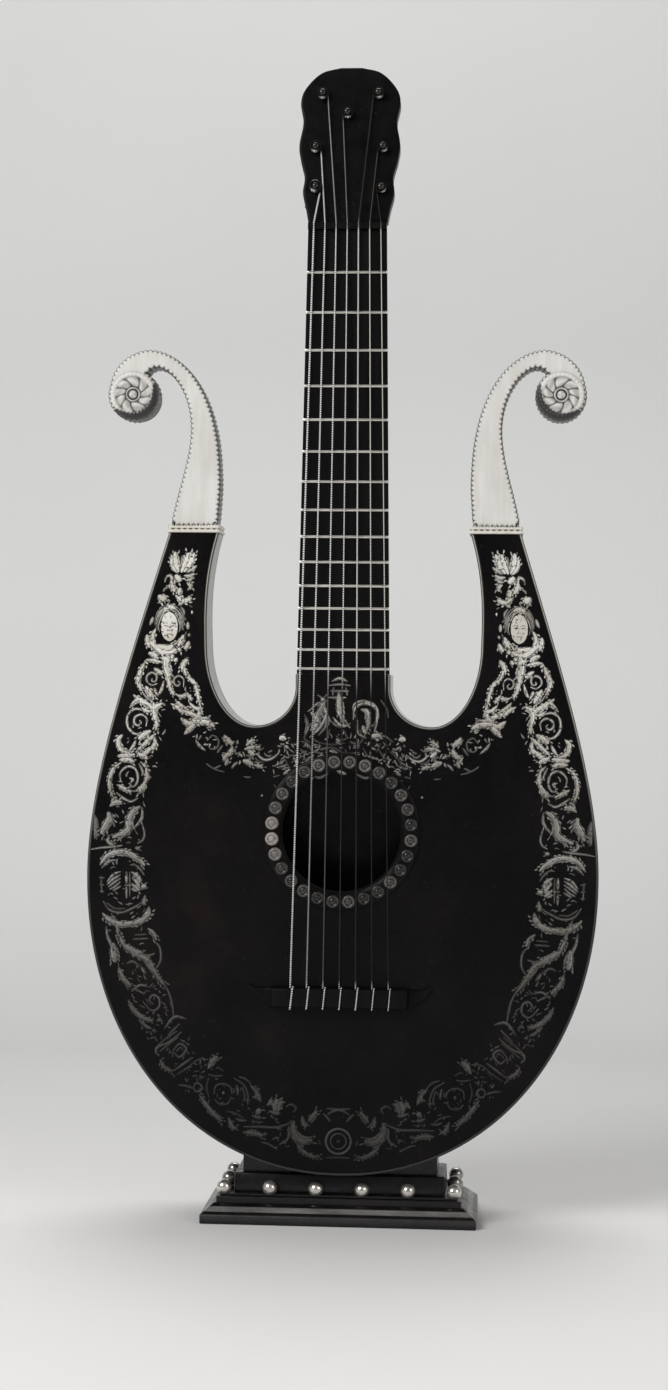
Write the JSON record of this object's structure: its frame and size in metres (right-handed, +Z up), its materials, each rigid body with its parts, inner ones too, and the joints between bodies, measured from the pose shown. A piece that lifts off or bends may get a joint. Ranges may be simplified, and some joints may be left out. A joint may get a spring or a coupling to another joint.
{
  "type": "lyre guitar",
  "caption": "Lyre guitar on its own stepped foot: pear-shaped body with two hollow arms and scrolled horns, fretted neck, wavy head with friction pegs, gut and wound strings.",
  "frame": {"origin": "centre of the foot's underside", "axes": "+Z up along the neck, -Y out of the soundboard towards the listener, +X to the treble side"},
  "size_m": [0.3706, 0.1064, 0.8448],
  "materials": {
    "black_lacquer": "black lacquered hardwood, glossy",
    "edge_inlay": "pale inlaid line",
    "inner_spruce": "bare planed spruce",
    "horn_white": "carved wood, ivory-white gesso",
    "collar_bone": "polished bone",
    "ebony": "satin ebony",
    "fret_metal": "polished pale brass",
    "peg_wood": "polished dark rosewood",
    "wound_string": "silvered wire wound on silk",
    "gut_string": "polished gut",
    "mother_of_pearl": "mother-of-pearl domes on a dark ring",
    "foot_pearl": "polished pearl-coloured beads"
  },
  "bodies": {
    "instrument": {"arm_block_bass": "inner_spruce", "arm_block_treble": "inner_spruce", "back": "black_lacquer", "back_brace_lower": "inner_spruce", "back_brace_upper": "inner_spruce", "bridge": "ebony", "collar_bass": "collar_bone", "collar_treble": "collar_bone", "fingerboard": "ebony", "foot_block": "black_lacquer", "foot_pearls_front": "foot_pearl", "foot_pearls_rear": "foot_pearl", "foot_plate": "black_lacquer", "fret_01": "fret_metal", "fret_02": "fret_metal", "fret_03": "fret_metal", "fret_04": "fret_metal", "fret_05": "fret_metal", "fret_06": "fret_metal", "fret_07": "fret_metal", "fret_08": "fret_metal", "fret_09": "fret_metal", "fret_10": "fret_metal", "fret_11": "fret_metal", "fret_12": "fret_metal", "fret_13": "fret_metal", "fret_14": "fret_metal", "fret_15": "fret_metal", "head": "black_lacquer", "horn_bass": "horn_white", "horn_treble": "horn_white", "inner_binding_bass": "edge_inlay", "inner_binding_treble": "edge_inlay", "inner_rib_bass": "black_lacquer", "inner_rib_treble": "black_lacquer", "neck": "black_lacquer", "neck_block": "inner_spruce", "nut": "ebony", "outer_binding": "edge_inlay", "outer_rib_bass": "black_lacquer", "outer_rib_treble": "black_lacquer", "soundboard": "black_lacquer", "soundboard_brace_lower": "inner_spruce", "soundboard_brace_upper": "inner_spruce", "soundhole_rosette": "mother_of_pearl", "string_1": "wound_string", "string_2": "wound_string", "string_3": "wound_string", "string_4": "wound_string", "string_5": "gut_string", "string_6": "gut_string", "string_7": "gut_string", "tail_block": "inner_spruce"},
    "peg_1_low_bass": {"peg_1_low_bass": "peg_wood"},
    "peg_2_mid_bass": {"peg_2_mid_bass": "peg_wood"},
    "peg_3_top_bass": {"peg_3_top_bass": "peg_wood"},
    "peg_4_centre": {"peg_4_centre": "peg_wood"},
    "peg_5_top_treble": {"peg_5_top_treble": "peg_wood"},
    "peg_6_mid_treble": {"peg_6_mid_treble": "peg_wood"},
    "peg_7_low_treble": {"peg_7_low_treble": "peg_wood"}
  },
  "joints": [
    {"name": "peg_1_low_bass_turn", "type": "hinge", "parent": "instrument", "child": "peg_1_low_bass", "pos_m": [-0.0238, -0.03767, 0.75132], "axis": [0, -0.9781, 0.2079], "continuous": true},
    {"name": "peg_2_mid_bass_turn", "type": "hinge", "parent": "instrument", "child": "peg_2_mid_bass", "pos_m": [-0.0244, -0.0312, 0.78174], "axis": [0, -0.9781, 0.2079], "continuous": true},
    {"name": "peg_3_top_bass_turn", "type": "hinge", "parent": "instrument", "child": "peg_3_top_bass", "pos_m": [-0.0204, -0.02245, 0.82292], "axis": [0, -0.9781, 0.2079], "continuous": true},
    {"name": "peg_4_centre_turn", "type": "hinge", "parent": "instrument", "child": "peg_4_centre", "pos_m": [-0.0019, -0.02565, 0.80786], "axis": [0, -0.9781, 0.2079], "continuous": true},
    {"name": "peg_5_top_treble_turn", "type": "hinge", "parent": "instrument", "child": "peg_5_top_treble", "pos_m": [0.0204, -0.02245, 0.82292], "axis": [0, -0.9781, 0.2079], "continuous": true},
    {"name": "peg_6_mid_treble_turn", "type": "hinge", "parent": "instrument", "child": "peg_6_mid_treble", "pos_m": [0.0244, -0.0312, 0.78174], "axis": [0, -0.9781, 0.2079], "continuous": true},
    {"name": "peg_7_low_treble_turn", "type": "hinge", "parent": "instrument", "child": "peg_7_low_treble", "pos_m": [0.0238, -0.03784, 0.75054], "axis": [0, -0.9781, 0.2079], "continuous": true}
  ]
}
